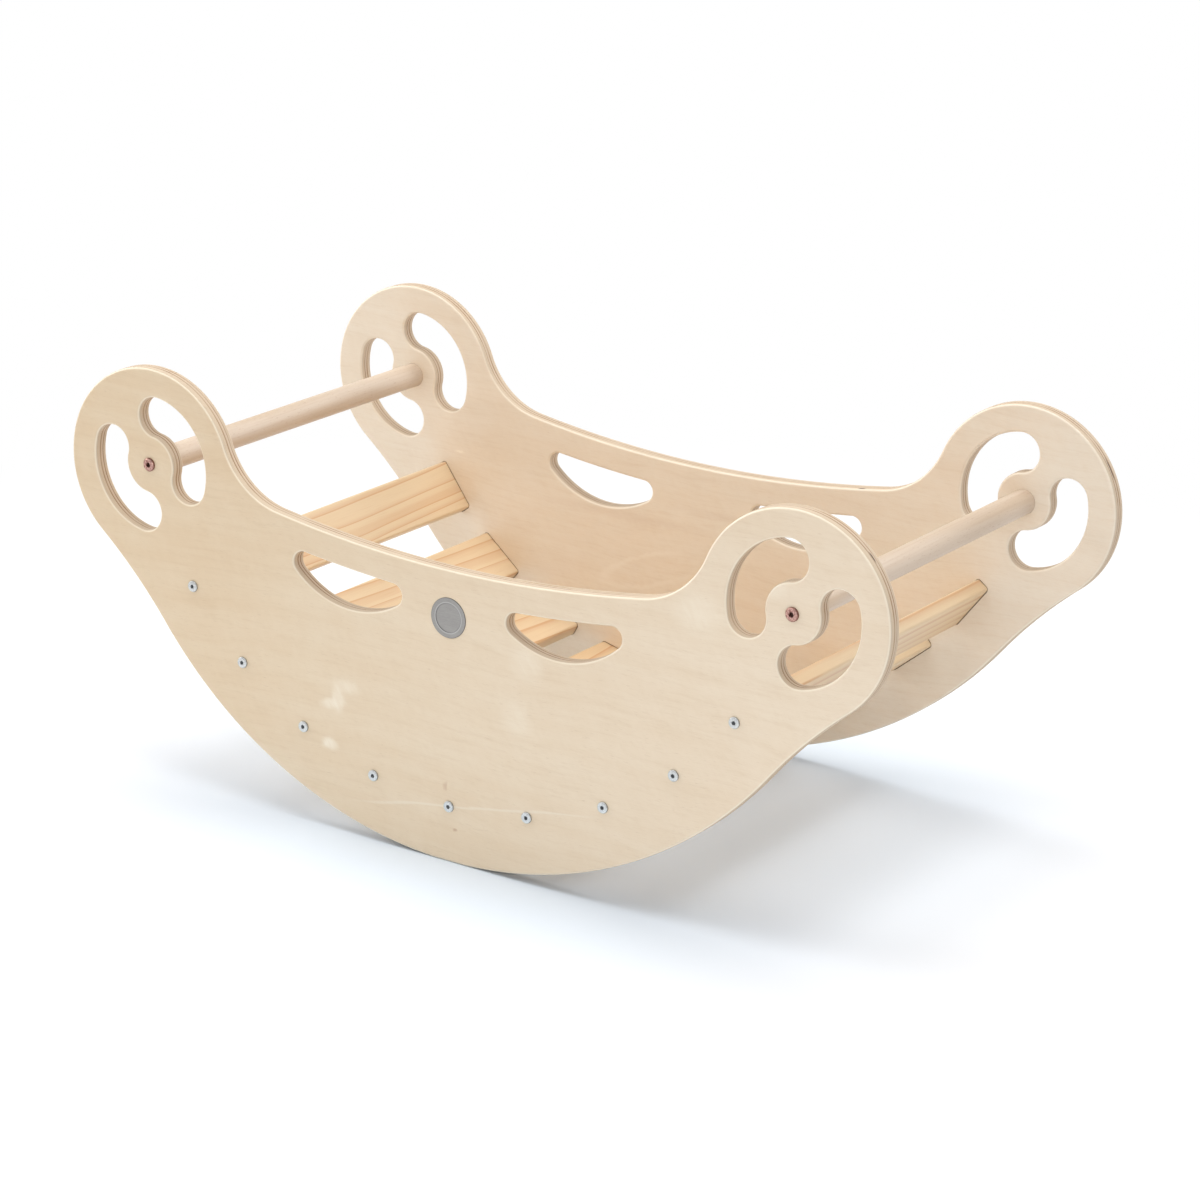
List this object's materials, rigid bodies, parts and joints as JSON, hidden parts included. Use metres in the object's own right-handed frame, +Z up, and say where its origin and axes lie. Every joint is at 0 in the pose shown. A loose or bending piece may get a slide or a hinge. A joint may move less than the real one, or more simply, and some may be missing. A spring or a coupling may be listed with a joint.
{
  "type": "climbing arch",
  "caption": "Child's wooden climbing arch and rocker: two curved plywood sides with round lobed ends, joined by pine slats and a grab bar at each end.",
  "frame": {"origin": "on the floor under the middle of the arch as it stands on its rockers, halfway between the side panels", "axes": "+X along the arch, to the right as seen from the badged panel; +Y from the badged panel to the other one; +Z up"},
  "size_m": [1, 0.4912, 0.455],
  "materials": {
    "birch_ply": "clear matt lacquer",
    "pine": "clear matt lacquer",
    "beech": "clear matt lacquer",
    "zinc": "bright zinc plate",
    "copper": "antique copper plate",
    "badge_metal": "fine brushed, left bare"
  },
  "bodies": {
    "root": {"side_panel_front": "birch_ply", "side_panel_back": "birch_ply", "slat_1": "pine", "slat_2": "pine", "slat_3": "pine", "slat_4": "pine", "slat_5": "pine", "slat_6": "pine", "slat_7": "pine", "slat_8": "pine", "slat_9": "pine", "bar_left": "beech", "bar_right": "beech", "slat_screws_front": "zinc", "slat_screws_back": "zinc", "bar_bolts_front": "copper", "bar_bolts_back": "copper", "bar_inserts_left": "zinc", "bar_inserts_right": "zinc", "badge": "badge_metal"}
  },
  "joints": []
}
